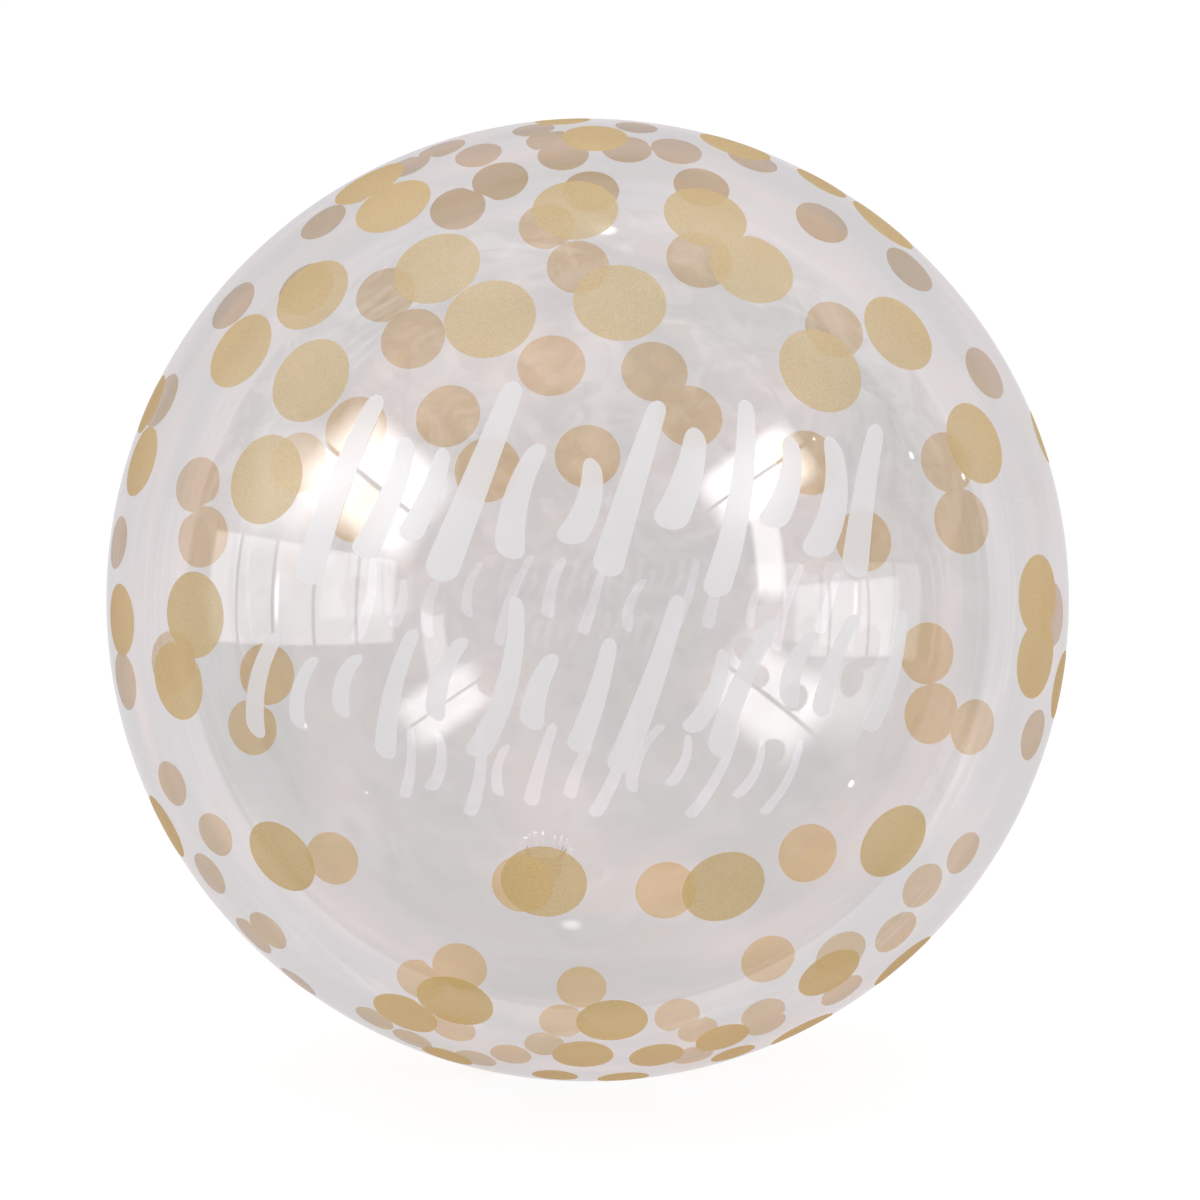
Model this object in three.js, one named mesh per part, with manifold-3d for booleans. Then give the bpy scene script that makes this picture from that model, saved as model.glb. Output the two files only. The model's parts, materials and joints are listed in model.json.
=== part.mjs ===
// A clear bubble balloon: one seamless envelope of clear film, blown up to a ball and sealed by its flat tail.
// The envelope is sealed, so it is one solid. Its printed dots and strokes are ink on the film, with no thickness here.
// Millimetres, +Z up. The front faces -Y. The origin is on the ground, at the middle of the small flat it lies on.
import * as THREE from "three";
import { mergeVertices } from "three/addons/utils/BufferGeometryUtils.js";
import Module from "manifold-3d";

// The ball.
const ballDiameter = 560;
const flatRadius = 34; // where the film settles on the ground
const segmentsRound = 72;
const segmentsTall = 44;

// The tail that it is filled through. It leaves the ball low at the back.
const tailTilt = 50; // degrees from straight down, towards the back
const tailTurn = 7.5; // degrees round the ball, towards -X
const tailWidth = 26;
const tailThickness = 3;
const tailReach = 44; // from the ball's surface to the tip
const tipRadius = 5; // of the tail's two rounded corners
const collarRadius = 24; // where the gathered film leaves the ball
const collarLength = 16; // from round, at the ball, to the flat tail
const collarDepth = 6; // how far the collar starts inside the ball, so that the two join all round
const collarSteps = 8;
const tipSteps = 5;
const endSteps = 6; // segments on each round edge of a section

const ballRadius = ballDiameter / 2;
const ballHeight = Math.sqrt(ballRadius ** 2 - flatRadius ** 2); // the ball's centre above the ground

const wasm = await Module();
wasm.setup();

function toSolid(geometry) {
  geometry.deleteAttribute("normal");
  geometry.deleteAttribute("uv");
  const merged = mergeVertices(geometry);
  const vertProperties = merged.getAttribute("position").array;
  const triVerts = new Uint32Array(merged.index.array);
  return new wasm.Manifold(new wasm.Mesh({ numProp: 3, vertProperties, triVerts }));
}

function toGeometry(solid) {
  const mesh = solid.getMesh();
  const geometry = new THREE.BufferGeometry();
  geometry.setAttribute("position", new THREE.BufferAttribute(mesh.vertProperties, 3));
  geometry.setIndex(new THREE.BufferAttribute(mesh.triVerts, 1));
  geometry.computeVertexNormals();
  return geometry;
}

// The ball's profile runs from the middle of the flat, out to its edge, and round to the top.
function ballGeometry() {
  const edgeAngle = Math.asin(flatRadius / ballRadius); // from straight down
  const profile = [new THREE.Vector2(0, 0)];
  for (let i = 0; i < segmentsTall; i += 1) {
    const angle = THREE.MathUtils.lerp(edgeAngle, Math.PI, i / segmentsTall);
    const across = ballRadius * Math.sin(angle);
    profile.push(new THREE.Vector2(across, ballHeight - ballRadius * Math.cos(angle)));
  }
  profile.push(new THREE.Vector2(0, ballHeight + ballRadius));
  const geometry = new THREE.LatheGeometry(profile, segmentsRound);
  return geometry.rotateX(Math.PI / 2); // the lathe turns about Y
}

// The neck's sections along its own +Z, which points out of the ball: a round collar, then the flat tail.
function neckSections() {
  const sections = [];
  const collarStart = ballRadius - collarDepth;
  const collarEnd = ballRadius + collarLength;
  const tailEnd = ballRadius + tailReach;
  for (let i = 0; i <= collarSteps; i += 1) {
    const share = i / collarSteps;
    const closing = Math.sin((share * Math.PI) / 2);
    sections.push({
      along: THREE.MathUtils.lerp(collarStart, collarEnd, share),
      halfWidth: THREE.MathUtils.lerp(collarRadius, tailWidth / 2, closing),
      halfThickness: THREE.MathUtils.lerp(collarRadius, tailThickness / 2, closing),
    });
  }
  for (let i = 0; i <= tipSteps; i += 1) {
    const turn = ((i / tipSteps) * Math.PI) / 2;
    sections.push({
      along: tailEnd - tipRadius + tipRadius * Math.sin(turn),
      halfWidth: tailWidth / 2 - tipRadius * (1 - Math.cos(turn)),
      halfThickness: tailThickness / 2,
    });
  }
  return sections;
}

// One section: two half circles, joined by two straight sides.
function sectionRing({ along, halfWidth, halfThickness }) {
  const ring = [];
  const offset = halfWidth - halfThickness;
  for (const side of [1, -1]) {
    for (let i = 0; i <= endSteps; i += 1) {
      const angle = -Math.PI / 2 + (i / endSteps) * Math.PI;
      const x = side * (offset + halfThickness * Math.cos(angle));
      ring.push(new THREE.Vector3(x, side * halfThickness * Math.sin(angle), along));
    }
  }
  return ring;
}

function neckGeometry() {
  const rings = neckSections().map(sectionRing);
  const size = rings[0].length;
  const last = (rings.length - 1) * size;
  const index = [];
  for (let r = 0; r < rings.length - 1; r += 1) {
    for (let i = 0; i < size; i += 1) {
      const low = r * size + i;
      const lowNext = r * size + ((i + 1) % size);
      index.push(low, lowNext, lowNext + size, low, lowNext + size, low + size);
    }
  }
  for (let i = 1; i < size - 1; i += 1) {
    index.push(0, i + 1, i); // the end inside the ball
    index.push(last, last + i, last + i + 1); // the tip
  }
  const geometry = new THREE.BufferGeometry().setFromPoints(rings.flat());
  return geometry.setIndex(index);
}

// Turns the neck from +Z to its place: down, back by the tilt, then round the ball.
function placeNeck(geometry) {
  geometry.rotateX(Math.PI); // straight down
  geometry.rotateX(THREE.MathUtils.degToRad(tailTilt));
  geometry.rotateZ(THREE.MathUtils.degToRad(tailTurn));
  return geometry.translate(0, 0, ballHeight);
}

const film = new THREE.MeshStandardMaterial({
  color: 0xdedade,
  roughness: 0.05,
  metalness: 0,
  transparent: true,
  opacity: 0.3,
});

const envelopeSolid = toSolid(ballGeometry()).add(toSolid(placeNeck(neckGeometry())));
const envelope = new THREE.Mesh(toGeometry(envelopeSolid), film);
envelope.name = "envelope";

const balloon = new THREE.Group();
balloon.add(envelope);

export default balloon;
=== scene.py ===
import json
import math
import random

import bmesh
import bpy
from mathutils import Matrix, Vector


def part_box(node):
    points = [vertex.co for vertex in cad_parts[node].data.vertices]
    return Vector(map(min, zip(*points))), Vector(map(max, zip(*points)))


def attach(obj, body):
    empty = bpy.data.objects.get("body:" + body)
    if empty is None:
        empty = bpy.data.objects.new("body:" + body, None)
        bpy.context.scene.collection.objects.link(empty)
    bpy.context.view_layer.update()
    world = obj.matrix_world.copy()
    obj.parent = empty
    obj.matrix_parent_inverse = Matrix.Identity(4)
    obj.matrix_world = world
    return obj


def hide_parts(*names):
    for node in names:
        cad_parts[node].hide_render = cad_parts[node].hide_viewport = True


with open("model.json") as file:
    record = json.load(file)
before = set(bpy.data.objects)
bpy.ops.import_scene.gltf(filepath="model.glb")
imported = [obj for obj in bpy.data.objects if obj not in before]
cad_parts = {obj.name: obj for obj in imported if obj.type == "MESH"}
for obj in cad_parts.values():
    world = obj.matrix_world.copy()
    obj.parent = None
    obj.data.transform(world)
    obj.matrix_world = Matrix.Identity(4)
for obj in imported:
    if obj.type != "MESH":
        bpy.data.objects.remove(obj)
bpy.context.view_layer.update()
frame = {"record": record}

# the ball, and the flat tail that leaves it low at the back
lowCorner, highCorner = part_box("envelope")
ballRadius = (highCorner.x - lowCorner.x) / 2
ballCentre = Vector((0, 0, highCorner.z - ballRadius))
tailMount = next(mount for mount in frame["record"]["mounts"] if mount["name"] == "tail")
tailFace = Vector(tailMount["axis"])  # the flat tail faces this way
tailPlace = Vector(tailMount["pos_m"]) - ballCentre
tailAxis = (tailPlace - tailFace * tailPlace.dot(tailFace)).normalized()  # out of the ball, along the tail
tailSide = tailAxis.cross(tailFace)
restSoftness = 0.0005  # the film settles softly onto the ground instead of passing through it


# longitude 0 is the front and grows towards +X, latitude grows upwards, both in degrees
def outward(longitude, latitude):
    lon = math.radians(longitude)
    lat = math.radians(latitude)
    return Vector((math.sin(lon) * math.cos(lat), -math.cos(lon) * math.cos(lat), math.sin(lat)))


def settle(point):
    height = 0.5 * (point.z + math.sqrt(point.z ** 2 + restSoftness ** 2))
    return Vector((point.x, point.y, height))


def onFilm(direction, lift=0.0):
    return settle(ballCentre + direction * (ballRadius + lift))


def newPiece(name, mesh, material):
    for polygon in mesh.polygons:
        polygon.use_smooth = True
    piece = bpy.data.objects.new(name, mesh)
    bpy.context.scene.collection.objects.link(piece)
    mesh.materials.append(material)
    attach(piece, "root")
    return piece


def newMaterial(name):
    material = bpy.data.materials.new(name)
    material.use_nodes = True
    material.cycles.emission_sampling = "NONE"  # nothing here lights the rest
    shader = material.node_tree.nodes["Principled BSDF"]
    return material, material.node_tree, shader


def newNode(tree, kind, inputs=None, **settings):
    node = tree.nodes.new(kind)
    for key, value in settings.items():
        setattr(node, key, value)
    for key, value in (inputs or {}).items():
        if isinstance(value, bpy.types.NodeSocket):
            tree.links.new(value, node.inputs[key])
        else:
            node.inputs[key].default_value = value
    return node


def newGroup(name, inputs, outputs):
    group = bpy.data.node_groups.new(name, "ShaderNodeTree")
    for socketName, default in inputs.items():
        socket = group.interface.new_socket(socketName, in_out="INPUT", socket_type="NodeSocketFloat")
        socket.default_value = default
    for socketName in outputs:
        group.interface.new_socket(socketName, in_out="OUTPUT", socket_type="NodeSocketFloat")
    return group, group.nodes.new("NodeGroupInput"), group.nodes.new("NodeGroupOutput")


def maths(tree, operation, *values):
    return newNode(tree, "ShaderNodeMath", dict(enumerate(values)), operation=operation).outputs[0]


# spreads a value from one span onto another, in a straight line or a soft curve
def spread(tree, value, span, onto=(0.0, 1.0), curve="LINEAR"):
    inputs = {"Value": value, "From Min": span[0], "From Max": span[1], "To Min": onto[0], "To Max": onto[1]}
    return newNode(tree, "ShaderNodeMapRange", inputs, interpolation_type=curve).outputs[0]


def mixColours(tree, share, first, second, blend="MIX"):
    colours = {"Color1": first, "Color2": second}
    for key, colour in colours.items():
        if not isinstance(colour, bpy.types.NodeSocket):
            colours[key] = tuple(colour) + (1,)
    return newNode(tree, "ShaderNodeMixRGB", {"Fac": share, **colours}, blend_type=blend).outputs[0]


def scaled(tree, colour, amount):
    return newNode(tree, "ShaderNodeVectorMath", {0: colour, "Scale": amount}, operation="SCALE").outputs[0]


def noise(tree, place, scale, detail):
    inputs = {"Vector": place, "Scale": scale, "Detail": detail}
    return newNode(tree, "ShaderNodeTexNoise", inputs).outputs["Fac"]


# fine speckle of printed ink, with a slow drift in how thick it lies
def makeInkGrain():
    group, given, result = newGroup(
        "inkGrain",
        {"Grain Scale": 1500.0, "Drift Scale": 14.0, "Grain": 0.5, "Drift": 0.5},
        ("Shade", "Height"),
    )
    place = newNode(group, "ShaderNodeTexCoord").outputs["Object"]
    grain = noise(group, place, given.outputs["Grain Scale"], detail=1.0)
    drift = noise(group, place, given.outputs["Drift Scale"], detail=1.0)
    grainPart = maths(group, "MULTIPLY", grain, given.outputs["Grain"])
    driftPart = maths(group, "MULTIPLY", drift, given.outputs["Drift"])
    group.links.new(maths(group, "ADD", grainPart, driftPart), result.inputs["Shade"])
    group.links.new(grain, result.inputs["Height"])
    return group


inkGrain = makeInkGrain()

# lengths in metres
film = {
    "ringsBall": 84,  # from the far pole to the gathered part
    "segments": 216,  # round the tail's axis
    "necking": 0.022,  # radius where the ball turns into the collar
    "collarLength": 0.018,
    "collarSteps": 14,
    "collarBends": (0.8, 0.7),  # how long the collar keeps the ball's direction, and the tail's
    "tailWidth": 0.026,
    "tailThickness": 0.0016,
    "tailReach": 0.044,  # from the ball's surface to the tip
    "tailSteps": 30,
    "tipRadius": 0.005,
    "tipThinning": 0.6,
    "pleats": 18,
    "pleatDepth": 0.0011,
    "pleatSwell": 0.8,  # below 1, the pleats deepen quickly and stay deep for longer
    "pleatRun": 1.15,  # the pleats end a little before the collar does
    "pleatCore": 0.004,  # where the collar is thinner than this, its pleats don't grow deeper
    "sealPlace": 0.009,  # middle of the seal, from the start of the tail
    "sealReach": 0.0035,
    "sealSpacing": 0.0016,
    "sealDepth": 0.0003,
    "veil": (0.12, 0.065, 0.062),  # what tints the stretched film a faint warm grey
    "veilShares": (0.4, 3.2),  # the least and the most of it, in streaks
    "streakScale": 26.0,
    "streakSlim": (0.35, 1.0, 0.35),  # draws the streaks out into rings
    "streakSpan": (0.42, 0.7),
    "waveScale": 5.0,
    "waveBump": 0.35,
    "waveHeight": 0.002,
    "cover": 0.29,
    "gloss": 0.03,
    "ior": 3.2,  # high, for the reflections of two surfaces in one
}


def makeFilmMaterial():
    material, tree, shader = newMaterial("clearFilm")
    place = newNode(tree, "ShaderNodeTexCoord").outputs["Object"]
    slim = newNode(tree, "ShaderNodeVectorMath", {0: place, 1: film["streakSlim"]}, operation="MULTIPLY")
    streak = noise(tree, slim.outputs[0], film["streakScale"], detail=2.0)
    veilShare = spread(tree, streak, film["streakSpan"], film["veilShares"])
    wave = noise(tree, place, film["waveScale"], detail=1.0)
    bump = newNode(tree, "ShaderNodeBump", {"Height": wave, "Strength": film["waveBump"],
                                            "Distance": film["waveHeight"]})
    tree.links.new(scaled(tree, film["veil"], veilShare), shader.inputs["Base Color"])
    tree.links.new(bump.outputs[0], shader.inputs["Normal"])
    shader.inputs["Roughness"].default_value = film["gloss"]
    shader.inputs["IOR"].default_value = film["ior"]
    shader.inputs["Alpha"].default_value = film["cover"]
    return material


# the ball turns into the collar at this angle from the tail's axis
neckAngle = math.asin(film["necking"] / ballRadius)


# the collar's sections: distance along the axis, half width, half thickness, pleat depth
def collarSections():
    half = film["tailWidth"] / 2
    thin = film["tailThickness"] / 2
    ballBend, tailBend = film["collarBends"]
    start = Vector((film["necking"], ballRadius * math.cos(neckAngle)))
    lean = Vector((math.cos(neckAngle), -math.sin(neckAngle)))  # along the ball, away from the axis
    end = Vector((half, ballRadius + film["collarLength"]))
    reach = film["necking"] - half
    afterStart = start - lean * reach * ballBend
    beforeEnd = end - Vector((0, film["collarLength"] * tailBend))
    points = (start, afterStart, beforeEnd, end)
    sections = []
    for i in range(1, film["collarSteps"] + 1):
        t = i / film["collarSteps"]
        weights = ((1 - t) ** 3, 3 * t * (1 - t) ** 2, 3 * t * t * (1 - t), t ** 3)
        wide = sum((p * w for p, w in zip(points, weights)), Vector((0, 0)))
        closing = t * t * (3 - 2 * t)
        narrow = wide.x * (1 - closing) + thin * closing
        run = film["pleatRun"] * t
        depth = film["pleatDepth"] * math.sin(math.pi * run) ** film["pleatSwell"] if run < 1 else 0.0
        sections.append((wide.y, wide.x, narrow, depth))
    return sections


# the flat tail's sections, with the ridges of its seal and a rounded tip
def tailSections():
    half = film["tailWidth"] / 2
    thin = film["tailThickness"] / 2
    tailStart = ballRadius + film["collarLength"]
    tailEnd = ballRadius + film["tailReach"]
    sections = []
    for i in range(1, film["tailSteps"] + 1):
        along = tailStart + (tailEnd - tailStart) * i / film["tailSteps"]
        overTip = max(0.0, along - (tailEnd - film["tipRadius"])) / film["tipRadius"]
        wide = half - film["tipRadius"] * (1 - math.sqrt(max(0.0, 1 - overTip ** 2)))
        sealed = math.exp(-((along - tailStart - film["sealPlace"]) / film["sealReach"]) ** 2)
        ridge = film["sealDepth"] * sealed * math.cos(math.tau * (along - tailStart) / film["sealSpacing"])
        edge = thin * (1 - film["tipThinning"] * overTip ** 2)
        sections.append((along, wide, edge + ridge, 0.0))
    return sections


def buildFilm():
    bm = bmesh.new()
    rings = []
    segments = film["segments"]
    turns = [math.tau * i / segments for i in range(segments)]
    for ring in range(1, film["ringsBall"] + 1):
        angle = math.pi - (math.pi - neckAngle) * ring / film["ringsBall"]
        row = []
        for turn in turns:
            side = tailSide * math.cos(turn) + tailFace * math.sin(turn)
            row.append(bm.verts.new(onFilm(tailAxis * math.cos(angle) + side * math.sin(angle))))
        rings.append(row)
    for along, wide, narrow, depth in collarSections() + tailSections():
        foldDepth = depth / max(narrow, film["pleatCore"])
        row = []
        for turn in turns:
            fold = 1 - foldDepth * (0.5 + 0.5 * math.cos(film["pleats"] * turn))
            place = tailSide * (wide * fold * math.cos(turn)) + tailFace * (narrow * fold * math.sin(turn))
            row.append(bm.verts.new(ballCentre + tailAxis * along + place))
        rings.append(row)
    farPole = bm.verts.new(onFilm(-tailAxis))
    tip = bm.verts.new(sum((v.co for v in rings[-1]), Vector()) / segments)
    for i in range(segments):
        after = (i + 1) % segments
        bm.faces.new((farPole, rings[0][after], rings[0][i]))
        bm.faces.new((tip, rings[-1][i], rings[-1][after]))
        for low, high in zip(rings, rings[1:]):
            bm.faces.new((low[i], low[after], high[after], high[i]))
    bmesh.ops.recalc_face_normals(bm, faces=bm.faces)
    mesh = bpy.data.meshes.new("film")
    bm.to_mesh(mesh)
    bm.free()
    piece = newPiece("filmBalloon", mesh, makeFilmMaterial())
    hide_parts("envelope")


buildFilm()
print("film built")

dots = {
    "lift": 0.00012,  # above the film, the thickness of the ink
    "rings": 6,
    "segments": 48,
    "sideStretch": 0.36,  # the film stretches the dots where it curves away from the front and the back
    "sideSqueeze": 0.1,
    "stretchSpan": (26, 84),  # degrees from the front or the back where that starts and is complete
    "inkPaintedLitTop": (0.54, 0.415, 0.235),  # the ink with painted light, at the top of the balloon
    "inkPaintedShadeFoot": (0.495, 0.345, 0.125),  # and with painted shade at its foot, where less light falls on it
    "throughHigh": (0.5, 0.38, 0.2),  # painted glow, emitted by the ink where it is seen from inside the balloon, for the light that comes through it, at the top
    # painted glow at the foot of the balloon
    "throughLow": (0.54, 0.395, 0.175),
    "heightSpan": (0.1, 1.6),  # from the foot's colours to the top's, which carry painted shade and painted glow, as shares of the centre's height
    "topSpan": (1.4, 1.8),
    "slant": (0.97, 0.87, 0.55),  # how much deeper the ink looks when seen at a slant
    "innerSlant": (0.78, 0.66, 0.14),  # the same from inside, near the top
    "slantSpan": (0.3, 0.74),  # from facing to slanted, where 1 is edge on
    "edgeSpan": (0.68, 0.9),  # from slanted to edge on
    "cover": 0.8,
    "slantCover": 0.97,  # seen at a slant, the ink hides nearly all that is behind it
    "slantDim": 0.74,  # and lets less light through, so its painted glow is dimmer
    "grain": 0.13,  # how much darker and paler the speckle is
    "grainParts": {"Grain": 0.7, "Drift": 0.3},
    "grainSpan": (0.35, 0.65),
    "grainBump": 0.1,
    "grainHeight": 0.0001,
    "gloss": 0.12,
    "coatIor": 1.4,
    "edgeCoat": 0.4,  # what is left of the gloss where the ink is seen edge on
    # the dots by their diameter in millimetres: the longitude and latitude of each
    "places": {
        47: [(-52, 57), (-21, 40), (-12, 33), (4, 35), (-37, 15), (-34, 26), (28, 27), (60, 2), (67, 50),
             (-174, 32), (-165, 16)],
        46: [(-36, 51), (-40, 37), (-49, 30), (-2, 49), (19, 48), (-46.5, 0.5), (23, 40), (43, 32),
             (50, 19), (60, -5), (49, 67), (65, -45.5), (156, 50), (164, 24), (169, 31), (180, 18),
             (146, 17), (-149, 36), (-158, 24), (-143, 22), (119, 9)],
        43: [(-66, 17), (-66, -1), (-50.5, -6.8), (-39, -26), (-5, -27), (16, -28), (38, -24), (74, -9),
             (56, -58.5), (-70, -26), (-21, -46), (134, 37), (120, 17), (126, -9), (123, -17), (138, 6),
             (-178, 49), (138, -39), (164, -47), (-140, 43), (-120, 43), (-117, 7), (-134, 17),
             (-145, 10), (-129, -12), (-167, -46), (94, -2), (-109, -9)],
        39: [(-73, 24), (39, -43), (-33, -50), (4, -49), (2, 67), (116, 55), (101, 45), (100, 29),
             (113, -18), (111, -53), (131, -57), (-144, 60), (-150, 67), (143, 65), (-100, 39),
             (-170, 57), (179, 65), (-93, 25), (-114, 14), (-130, -39), (-144, -60), (-91, -10),
             (-124, -19)],
        35: [(-129, -61), (-104, 54), (102, 69), (105, -40), (-178, -66), (-90, 7), (158, 77), (132, 75),
             (-168, 75), (-14, 78), (62, 58), (77, 20), (-1, -58), (100, -47), (93, -17)],
        32: [(15, -59), (27, -55), (-38, -63), (12, -70), (-152, 80), (-126, 73), (-96, 72), (-101, 67),
             (99, -34), (-98, -24), (-90, -28), (-104, -32), (-92, -36), (-96, -46), (-86, -45),
             (-115, -71), (-168, -74), (142, -71), (109, -66), (92, -57)],
        28: [(38, -62), (-10, -68), (-110, 83), (100, 84), (-88, -63), (-147, -80), (-107, -80),
             (124, -73), (99, -67), (-79, -76), (-78, -52), (90, -77), (-82, -68)],
    },
}


# how high a point lies between two heights, from 0 to 1
def heightShare(tree, span):
    place = newNode(tree, "ShaderNodeTexCoord").outputs["Object"]
    axes = newNode(tree, "ShaderNodeSeparateXYZ", {"Vector": place})
    return spread(tree, axes.outputs["Z"], [ballCentre.z * share for share in span])


def makeGoldInk():
    material, tree, shader = newMaterial("goldInk")
    grain = newNode(tree, "ShaderNodeGroup", dots["grainParts"], node_tree=inkGrain)
    speckle = spread(tree, grain.outputs["Shade"], dots["grainSpan"], (1 - dots["grain"], 1 + dots["grain"]))
    bump = newNode(tree, "ShaderNodeBump", {"Height": grain.outputs["Height"], "Strength": dots["grainBump"],
                                            "Distance": dots["grainHeight"]})
    # how far up the balloon a point is, for the painted shade and painted glow
    high = heightShare(tree, dots["heightSpan"])
    top = heightShare(tree, dots["topSpan"])
    inside = newNode(tree, "ShaderNodeNewGeometry").outputs["Backfacing"]
    outside = maths(tree, "SUBTRACT", 1.0, inside)
    facing = newNode(tree, "ShaderNodeLayerWeight", {"Blend": 0.5}).outputs["Facing"]
    slant = spread(tree, facing, dots["slantSpan"], curve="SMOOTHSTEP")
    outerSlant = maths(tree, "MULTIPLY", slant, outside)
    # seen from inside, the ink near the top is deepest half way to edge on
    halfSlant = maths(tree, "PINGPONG", slant, 0.5)
    topInside = maths(tree, "MULTIPLY", top, inside)
    innerSlant = maths(tree, "MULTIPLY", maths(tree, "MULTIPLY", halfSlant, topInside), 2.0)
    # the ink's colour, with painted shade at the foot and painted light at the top
    ink = mixColours(tree, high, dots["inkPaintedShadeFoot"], dots["inkPaintedLitTop"])
    ink = mixColours(tree, outerSlant, ink, dots["slant"], "MULTIPLY")
    ink = mixColours(tree, innerSlant, ink, dots["innerSlant"], "MULTIPLY")
    # painted glow, emitted only where the ink is seen from inside, for the light that comes through it
    through = mixColours(tree, high, dots["throughLow"], dots["throughHigh"])
    through = mixColours(tree, innerSlant, through, dots["innerSlant"], "MULTIPLY")
    dimmed = spread(tree, slant, (0.0, 1.0), (1.0, dots["slantDim"]))
    glow = scaled(tree, through, maths(tree, "MULTIPLY", inside, dimmed))
    cover = spread(tree, outerSlant, (0.0, 1.0), (dots["cover"], dots["slantCover"]))
    edge = spread(tree, facing, dots["edgeSpan"], curve="SMOOTHSTEP")
    coat = spread(tree, maths(tree, "MULTIPLY", edge, outside), (0.0, 1.0), (1.0, dots["edgeCoat"]))
    tree.links.new(scaled(tree, ink, speckle), shader.inputs["Base Color"])
    tree.links.new(glow, shader.inputs["Emission Color"])
    tree.links.new(bump.outputs[0], shader.inputs["Normal"])
    tree.links.new(cover, shader.inputs["Alpha"])
    tree.links.new(coat, shader.inputs["Coat Weight"])
    shader.inputs["Emission Strength"].default_value = 1.0
    shader.inputs["IOR"].default_value = 1.0  # all of the gloss is the coat's
    shader.inputs["Coat IOR"].default_value = dots["coatIor"]
    shader.inputs["Coat Roughness"].default_value = dots["gloss"]
    return material


# the dot's own directions: away from the front or back, and round it, with how far it reaches each way
def dotAxes(centre):
    out = centre - Vector((0, centre.y, 0))
    away = out.normalized() if out.length > 0.01 else Vector((0, 0, 1))
    away = (away - centre * away.dot(centre)).normalized()
    starts, ends = dots["stretchSpan"]
    t = (math.degrees(math.acos(min(1.0, abs(centre.y)))) - starts) / (ends - starts)
    t = max(0.0, min(1.0, t))
    share = t * t * (3 - 2 * t)
    return away * (1 + dots["sideStretch"] * share), centre.cross(away) * (1 - dots["sideSqueeze"] * share)


def addDot(bm, centre, radius, neighbours):
    away, aside = dotAxes(centre)
    dot = bmesh.new()
    middle = dot.verts.new(centre)
    inner = None
    for ring in range(1, dots["rings"] + 1):
        reach = radius * ring / dots["rings"]
        row = []
        for i in range(dots["segments"]):
            turn = math.tau * i / dots["segments"]
            across = away * math.cos(turn) + aside * math.sin(turn)
            row.append(dot.verts.new((centre + across * math.tan(reach)).normalized()))
        for i in range(dots["segments"]):
            after = (i + 1) % dots["segments"]
            if inner is None:
                dot.faces.new((middle, row[i], row[after]))
            else:
                dot.faces.new((inner[i], row[i], row[after], inner[after]))
        inner = row
    # where two dots run together, each ends at the seam between them
    for otherCentre, otherRadius in neighbours:
        normal = otherCentre - centre
        seam = math.cos(otherRadius) - math.cos(radius)
        bmesh.ops.bisect_plane(dot, geom=dot.verts[:] + dot.edges[:] + dot.faces[:],
                               plane_co=normal * (seam / normal.length_squared), plane_no=normal,
                               clear_outer=True)
    copies = {v: bm.verts.new(onFilm(v.co.normalized(), dots["lift"])) for v in dot.verts}
    for face in dot.faces:
        bm.faces.new([copies[v] for v in face.verts])
    dot.free()


def buildDots():
    allDots = []
    for diameter, places in dots["places"].items():
        radius = diameter / 2 / 1000 / ballRadius  # as an angle at the ball's centre
        allDots += [(outward(*place), radius) for place in places]
    widest = 1 + dots["sideStretch"]
    bm = bmesh.new()
    for centre, radius in allDots:
        close = [(c, r) for c, r in allDots
                 if c is not centre and centre.angle(c) < widest * (radius + r)]
        addDot(bm, centre, radius, close)
    mesh = bpy.data.meshes.new("dots")
    bm.to_mesh(mesh)
    bm.free()
    newPiece("goldDots", mesh, makeGoldInk())


buildDots()
print("dots built")

# brush strokes in rows, which aren't letters
strokes = {
    "lift": 0.00018,
    "steps": 20,
    "across": 6,
    "ink": (0.68, 0.665, 0.68),
    "unevenness": 0.05,
    "grainParts": {"Grain": 0.5, "Drift": 0.5},
    "through": (0.7, 0.73, 0.78),  # painted glow, emitted where the strokes are seen from inside the balloon, for the light that comes through the ink
    "cover": 0.8,
    "gloss": 0.25,
    "belly": 0.26,  # how much wider a stroke is towards its foot, as a loaded brush leaves it
    "seed": 11,
    # how far each stroke strays from its row's even spacing, in degrees, and from its row's width
    "strayAlong": 0.6,
    "strayUp": 1.2,
    "strayLean": 4,
    "strayBow": 1.5,
    "strayWidth": (0.8, 1.1),
    # each row: first and last longitude, latitude of its middle at both ends, then the strokes' lengths in
    # turn, width and lean to the right, all in degrees
    "front": [
        {"from": (-27, 14), "to": (31, 14), "lengths": (21, 13, 10, 22, 12, 9, 19, 11, 21, 10, 13, 17),
         "width": 2.7, "lean": 17},
        {"from": (-35, -6), "to": (32, -5), "lengths": (12, 8, 7, 14, 9, 17, 8, 12, 19, 9, 15, 8, 11, 13),
         "width": 2.1, "lean": 19},
    ],
    "back": [
        {"from": (144, -3), "to": (214, -2), "lengths": (9, 13, 7, 11, 15, 8, 12, 9, 14, 8, 11, 7, 12),
         "width": 1.5, "lean": -18},
        {"from": (148, -27), "to": (210, -27), "lengths": (12, 9, 15, 8, 11, 16, 9, 13, 8, 14, 9, 11),
         "width": 1.7, "lean": -18},
    ],
}


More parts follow.
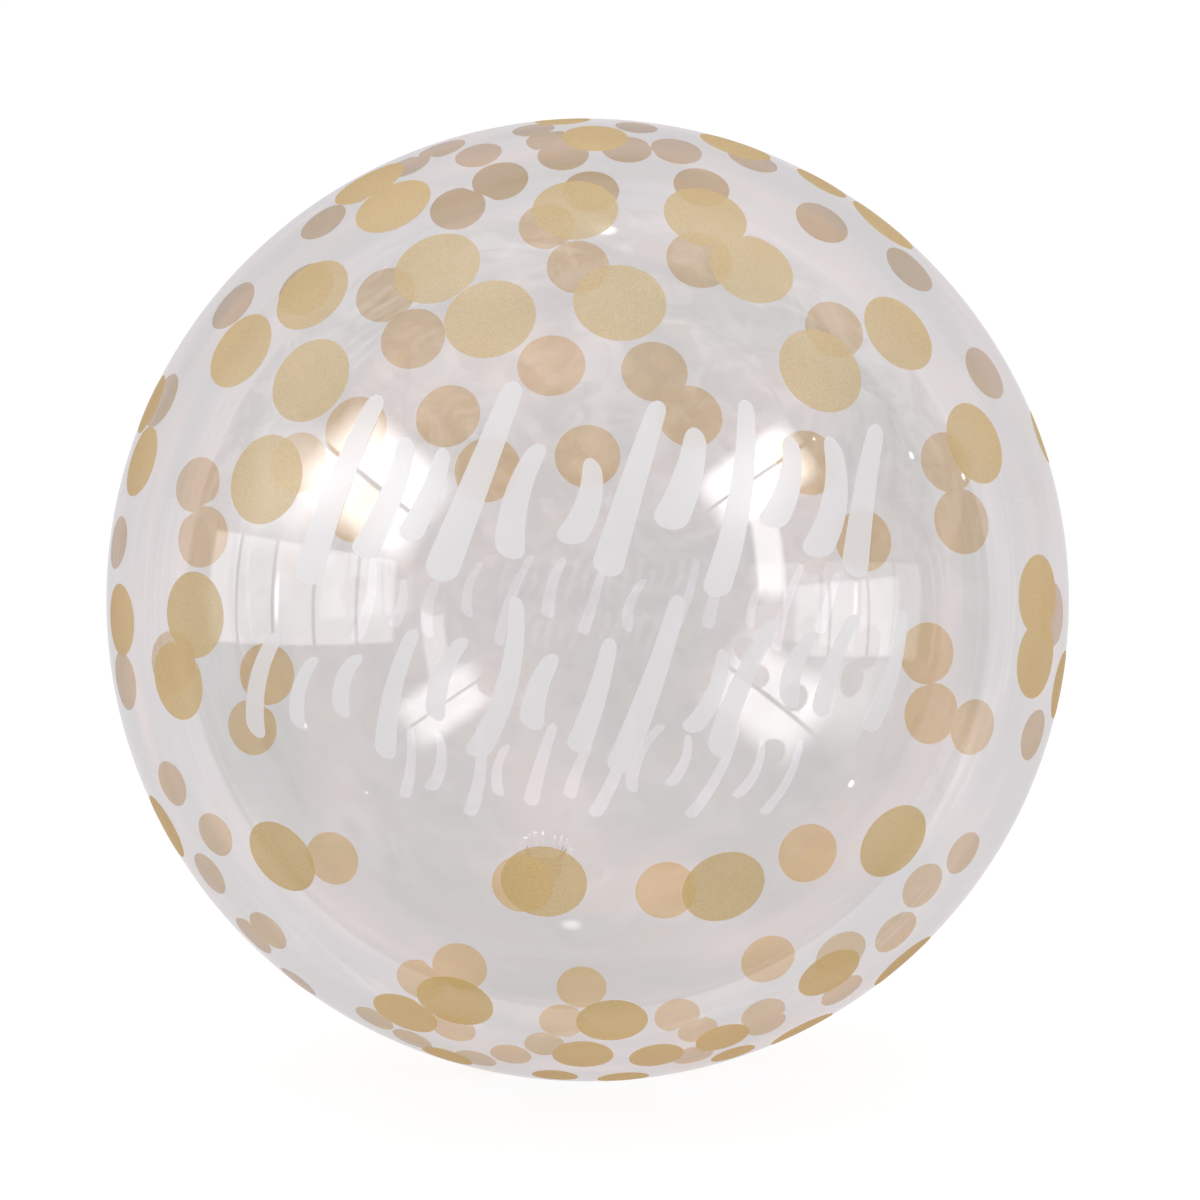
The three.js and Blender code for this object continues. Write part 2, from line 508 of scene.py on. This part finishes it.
def makeWhiteInk():
    material, tree, shader = newMaterial("whiteInk")
    grain = newNode(tree, "ShaderNodeGroup", strokes["grainParts"], node_tree=inkGrain)
    darkest = [(1 - strokes["unevenness"]) * c for c in strokes["ink"]]
    palest = [(1 + strokes["unevenness"]) * c for c in strokes["ink"]]
    inside = newNode(tree, "ShaderNodeNewGeometry").outputs["Backfacing"]
    tree.links.new(mixColours(tree, grain.outputs["Shade"], darkest, palest), shader.inputs["Base Color"])
    # painted glow, only where the strokes are seen from inside the balloon
    tree.links.new(mixColours(tree, inside, (0, 0, 0), strokes["through"]), shader.inputs["Emission Color"])
    shader.inputs["Emission Strength"].default_value = 1.0
    shader.inputs["Roughness"].default_value = strokes["gloss"]
    shader.inputs["Alpha"].default_value = strokes["cover"]
    return material


def addStroke(bm, stroke):
    longitude, latitude, length, width, lean, bow = stroke
    centre = outward(longitude, latitude)
    east = Vector((0, 0, 1)).cross(centre).normalized()
    north = centre.cross(east)
    tilt = math.radians(lean)
    along = east * math.sin(tilt) + north * math.cos(tilt)
    aside = along.cross(centre)
    halfLong = math.radians(length) / 2
    halfWide = math.radians(width) / 2
    endRound = halfWide / halfLong
    rows = []
    for i in range(strokes["steps"] + 1):
        t = -math.cos(math.pi * i / strokes["steps"])  # from -1 to 1, closer together at the round ends
        fromEnd = max(0.0, abs(t) - 1 + endRound) / endRound
        belly = 1 - strokes["belly"] * t
        reach = halfWide * belly * math.sqrt(max(0.0, 1 - fromEnd ** 2))
        middle = centre + along * (t * halfLong) + aside * (math.radians(bow) * (1 - t * t))
        row = []
        for j in range(strokes["across"] + 1):
            s = 2 * j / strokes["across"] - 1
            row.append(bm.verts.new(onFilm((middle + aside * (s * reach)).normalized(), strokes["lift"])))
        rows.append(row)
    for low, high in zip(rows, rows[1:]):
        for j in range(strokes["across"]):
            bm.faces.new((low[j], low[j + 1], high[j + 1], high[j]))


def rowOfStrokes(row, chance):
    def stray(amount):
        return chance.uniform(-amount, amount)

    placed = []
    last = len(row["lengths"]) - 1
    for i, length in enumerate(row["lengths"]):
        share = i / last
        longitude = row["from"][0] + (row["to"][0] - row["from"][0]) * share + stray(strokes["strayAlong"])
        latitude = row["from"][1] + (row["to"][1] - row["from"][1]) * share + stray(strokes["strayUp"])
        width = row["width"] * chance.uniform(*strokes["strayWidth"])
        lean = row["lean"] + stray(strokes["strayLean"])
        placed.append((longitude, latitude, length, width, lean, stray(strokes["strayBow"])))
    return placed


def buildStrokes(name, rows):
    chance = random.Random(strokes["seed"])
    bm = bmesh.new()
    for row in rows:
        for stroke in rowOfStrokes(row, chance):
            addStroke(bm, stroke)
    bmesh.ops.remove_doubles(bm, verts=bm.verts, dist=1e-6)  # each stroke ends in one point
    mesh = bpy.data.meshes.new(name)
    bm.to_mesh(mesh)
    bm.free()
    newPiece(name, mesh, whiteInk)


whiteInk = makeWhiteInk()
buildStrokes("whiteStrokesFront", strokes["front"])
buildStrokes("whiteStrokesBack", strokes["back"])
print("strokes built")

studio = {
    "floorSize": 60.0,
    "floorDrop": 0.0003,  # below the balloon, so that the two don't flicker
    "floorTints": ((0.24, 0.24, 0.24), (0.25, 0.25, 0.25)),
    "floorPatchScale": 3.0,
    "floorRoughness": 0.9,
    "floorGlow": 0.79,
    "white": 1.03,  # of the background
    "diffuse": 0.8,  # the light that it gives
    "sunEnergy": 1.0,
    "sunSoftness": 60,  # degrees
    "sunTilt": 35,  # degrees from straight above, towards the camera
}


def makeFloor():
    material, tree, shader = newMaterial("paleFloor")
    place = newNode(tree, "ShaderNodeTexCoord").outputs["Object"]
    patches = noise(tree, place, studio["floorPatchScale"], detail=2.0)
    tree.links.new(mixColours(tree, patches, *studio["floorTints"]), shader.inputs["Base Color"])
    shader.inputs["Roughness"].default_value = studio["floorRoughness"]
    shader.inputs["Specular IOR Level"].default_value = 0.0
    shader.inputs["Emission Color"].default_value = (1, 1, 1, 1)
    shader.inputs["Emission Strength"].default_value = studio["floorGlow"]
    half = studio["floorSize"] / 2
    corners = [(-half, -half, 0), (half, -half, 0), (half, half, 0), (-half, half, 0)]
    mesh = bpy.data.meshes.new("floor")
    mesh.from_pydata(corners, [], [(0, 1, 2, 3)])
    floor = bpy.data.objects.new("floor", mesh)
    floor.location.z = -studio["floorDrop"]
    floor.visible_glossy = False
    mesh.materials.append(material)
    bpy.context.scene.collection.objects.link(floor)


# the room that the glossy film mirrors: dim clutter on the camera's side, pale and streaky beyond
room = {
    "clutterDim": (0.12, 0.04, 0.03),
    "clutterPale": (1.0, 0.88, 0.9),
    "clutterNoise": {"Scale": 4.6, "Detail": 5.0, "Roughness": 0.65, "Distortion": 1.4},
    "clutterSpan": (0.4, 0.63),
    "thingScale": 7.0,  # the things that stand about in it
    "thingBend": 0.6,  # how far their edges are bent
    "thingSpan": (0.25, 0.75),
    "thingShares": (-0.14, 0.22),  # how much darker or paler each is than the clutter
    "litHeights": (-0.45, 0.5),  # the clutter is lit from below here, and more up to here
    "litShares": (0.1, 0.75),  # the light on all of it, and what is added at the top
    "ceiling": 0.6,
    "ceilingSpan": (0.35, 0.9),
    "backDim": (0.94, 0.82, 0.89),
    "backPale": (1.25, 1.13, 1.22),
    "backStart": (0.25, 0.275),
    "streakFlat": (1.2, 7.0, 1.2),  # draws the streaks out into rings
    "streakScale": 2.0,
    "streakSpan": (0.3, 0.7),
    "rimShare": 0.55,  # what is left of the light straight behind the balloon
    "rimSpan": (0.35, 0.9),
    # windows: azimuth from the camera, elevation, lean, half width and half height in degrees, panes across,
    # panes up, softness of the edges, brightness
    "windows": [
        (-54, 25, -22, 20, 13, 1, 2, 0.55, 8.0),
        (-76, 21, 0, 20, 15, 1, 1, 0.8, 3.6),
        (43, 28, 22, 16, 8, 1, 2, 0.55, 8.0),
        (42, 13, 0, 4, 12, 1, 1, 0.4, 4.0),
        (-70, 2, 0, 27, 10, 5, 1, 0.08, 2.0),
        (61, -2, 0, 15, 8, 3, 1, 0.2, 1.8),
        (-74.5, 1, 0, 0.8, 6, 1, 1, 0.8, 5.0),
    ],
    "barEdges": (0.02, 0.06),  # shares of a pane, from the dark bar to the full light
    # small lamps: azimuth, elevation, half width in degrees, brightness
    "lamps": [
        (156, 83, 2.2, 5.5),
        (89, 24, 0.8, 9.0),
        (104, 17, 0.7, 9.0),
        (73, -33, 0.9, 9.0),
        (62, 33, 0.5, 8.0),
        (83, 41, 0.5, 8.0),
    ],
}


# one window of the room as seen along a direction: a soft edged rectangle crossed by bars
def makeRoomWindow():
    group, given, result = newGroup(
        "roomWindow",
        {"Azimuth": 0.0, "Elevation": 0.0, "Lean": 0.0, "Half Width": 0.3, "Half Height": 0.2, "Across": 2.0,
         "Up": 2.0, "Softness": 0.25},
        ("Glow",),
    )
    ray = newNode(group, "ShaderNodeTexCoord").outputs["Generated"]
    for angle, axis in (("Azimuth", "Z_AXIS"), ("Elevation", "X_AXIS"), ("Lean", "Y_AXIS")):
        ray = newNode(group, "ShaderNodeVectorRotate", {"Vector": ray, "Angle": given.outputs[angle]},
                      rotation_type=axis).outputs[0]
    axes = newNode(group, "ShaderNodeSeparateXYZ", {"Vector": ray})
    ahead = maths(group, "MULTIPLY", axes.outputs["Y"], -1.0)
    glow = maths(group, "GREATER_THAN", ahead, 0.2)  # nothing of it shows beside or behind
    softStart = maths(group, "SUBTRACT", 1.0, given.outputs["Softness"])
    for axis, half, panes in (("X", "Half Width", "Across"), ("Z", "Half Height", "Up")):
        flat = maths(group, "DIVIDE", axes.outputs[axis], ahead)
        share = maths(group, "DIVIDE", flat, given.outputs[half])
        pane = spread(group, maths(group, "ABSOLUTE", share), (1.0, softStart), curve="SMOOTHSTEP")
        fromEdge = maths(group, "MULTIPLY_ADD", share, 0.5, 0.5)
        cells = maths(group, "MULTIPLY", fromEdge, given.outputs[panes])
        bars = spread(group, maths(group, "PINGPONG", cells, 0.5), room["barEdges"], curve="SMOOTHSTEP")
        glow = maths(group, "MULTIPLY", maths(group, "MULTIPLY", glow, pane), bars)
    group.links.new(glow, result.inputs["Glow"])
    return group


# a small round lamp of the room
def makeRoomLamp():
    group, given, result = newGroup("roomLamp", {"X": 0.0, "Y": 0.0, "Z": 1.0, "Reach": 0.001}, ("Glow",))
    ray = newNode(group, "ShaderNodeTexCoord").outputs["Generated"]
    towards = newNode(group, "ShaderNodeCombineXYZ", {axis: given.outputs[axis] for axis in "XYZ"})
    near = newNode(group, "ShaderNodeVectorMath", {0: ray, 1: towards.outputs[0]}, operation="DOT_PRODUCT")
    edge = maths(group, "SUBTRACT", 1.0, given.outputs["Reach"])
    glow = spread(group, near.outputs["Value"], (edge, 1.0), curve="SMOOTHSTEP")
    group.links.new(glow, result.inputs["Glow"])
    return group


def addLight(tree, light, glow, bright):
    more = scaled(tree, (bright, bright, bright), glow)
    return newNode(tree, "ShaderNodeVectorMath", {0: light, 1: more}, operation="ADD").outputs[0]


# the camera's side of the room
def makeClutter(tree, ray, height):
    clutter = newNode(tree, "ShaderNodeTexNoise", {"Vector": ray, **room["clutterNoise"]})
    pale = spread(tree, clutter.outputs["Fac"], room["clutterSpan"], curve="SMOOTHSTEP")
    bend = scaled(tree, clutter.outputs["Color"], room["thingBend"])
    bent = newNode(tree, "ShaderNodeVectorMath", {0: bend, 1: ray}, operation="ADD").outputs[0]
    things = newNode(tree, "ShaderNodeTexVoronoi", {"Vector": bent, "Scale": room["thingScale"]})
    thing = spread(tree, things.outputs["Color"], room["thingSpan"], room["thingShares"])
    least, more = room["litShares"]
    raised = spread(tree, height, room["litHeights"], curve="SMOOTHSTEP")
    lit = maths(tree, "MULTIPLY_ADD", raised, more, least)
    share = maths(tree, "MULTIPLY", maths(tree, "ADD", pale, thing), lit)
    light = mixColours(tree, share, room["clutterDim"], room["clutterPale"])
    high = spread(tree, height, room["ceilingSpan"], curve="SMOOTHSTEP")
    return addLight(tree, light, high, room["ceiling"])


# the far side of the room
def makeBeyond(tree, ray, depth):
    flat = newNode(tree, "ShaderNodeVectorMath", {0: ray, 1: room["streakFlat"]}, operation="MULTIPLY")
    streak = noise(tree, flat.outputs[0], room["streakScale"], detail=4.0)
    light = mixColours(tree, spread(tree, streak, room["streakSpan"]), room["backDim"], room["backPale"])
    return scaled(tree, light, spread(tree, depth, room["rimSpan"], (1.0, room["rimShare"])))


def makeRoom(tree):
    ray = newNode(tree, "ShaderNodeTexCoord").outputs["Generated"]
    axes = newNode(tree, "ShaderNodeSeparateXYZ", {"Vector": ray})
    back = spread(tree, axes.outputs["Y"], room["backStart"], curve="SMOOTHSTEP")
    light = mixColours(tree, back, makeClutter(tree, ray, axes.outputs["Z"]),
                       makeBeyond(tree, ray, axes.outputs["Y"]))
    windowGroup = makeRoomWindow()
    for azimuth, elevation, lean, halfWidth, halfHeight, across, up, soft, bright in room["windows"]:
        window = newNode(tree, "ShaderNodeGroup", {
            "Azimuth": math.radians(-azimuth), "Elevation": math.radians(elevation),
            "Lean": math.radians(lean), "Half Width": math.tan(math.radians(halfWidth)),
            "Half Height": math.tan(math.radians(halfHeight)), "Across": across, "Up": up, "Softness": soft,
        }, node_tree=windowGroup)
        light = addLight(tree, light, window.outputs[0], bright)
    lampGroup = makeRoomLamp()
    for azimuth, elevation, size, bright in room["lamps"]:
        towards = outward(azimuth, elevation)
        lamp = newNode(tree, "ShaderNodeGroup", {"X": towards.x, "Y": towards.y, "Z": towards.z,
                                                 "Reach": 1 - math.cos(math.radians(size))},
                       node_tree=lampGroup)
        light = addLight(tree, light, lamp.outputs[0], bright)
    return light


# a plain white background, but what is mirrored is the room
def makeWorld():
    world = bpy.data.worlds.new("studioLight")
    bpy.context.scene.world = world
    world.use_nodes = True
    tree = world.node_tree
    path = newNode(tree, "ShaderNodeLightPath")
    white = tree.nodes["Background"]
    white.inputs["Color"].default_value = (1, 1, 1, 1)
    strength = spread(tree, path.outputs["Is Diffuse Ray"], (0.0, 1.0), (studio["white"], studio["diffuse"]))
    tree.links.new(strength, white.inputs["Strength"])
    roomLight = newNode(tree, "ShaderNodeBackground", {"Color": makeRoom(tree)})
    mirrored = maths(tree, "GREATER_THAN", path.outputs["Glossy Depth"], 0.5)  # at least once
    mix = newNode(tree, "ShaderNodeMixShader", {0: mirrored, 1: white.outputs[0], 2: roomLight.outputs[0]})
    tree.links.new(mix.outputs[0], tree.nodes["World Output"].inputs["Surface"])
    world.cycles.sampling_method = "NONE"  # it is nearly even, so sampling it would only cost time


def makeSun():
    sun = bpy.data.objects.new("softSun", bpy.data.lights.new("softSun", "SUN"))
    sun.data.energy = studio["sunEnergy"]
    sun.data.angle = math.radians(studio["sunSoftness"])
    sun.data.use_shadow = False  # the light is as soft as in a white tent
    sun.rotation_euler = (math.radians(studio["sunTilt"]), 0, 0)
    sun.visible_glossy = False
    bpy.context.scene.collection.objects.link(sun)


view = {
    "distance": 5.26,  # ball radii from the ball's centre
    "elevation": 3.0,  # degrees
    "lens": 74.6,
    "sensor": 36.0,
    "shift": 0.0103,
}


def makeCamera():
    tilt = math.radians(view["elevation"])
    away = view["distance"] * ballRadius
    camera = bpy.data.objects.new("camera", bpy.data.cameras.new("camera"))
    camera.location = ballCentre + Vector((0, -math.cos(tilt), math.sin(tilt))) * away
    camera.rotation_euler = (math.pi / 2 - tilt, 0, 0)
    camera.data.lens = view["lens"]
    camera.data.sensor_width = view["sensor"]
    camera.data.shift_x = view["shift"]
    bpy.context.scene.collection.objects.link(camera)
    bpy.context.scene.camera = camera


makeFloor()
makeWorld()
makeSun()
makeCamera()
bpy.context.scene.view_settings.view_transform = "Standard"
print("floor, light and camera set")
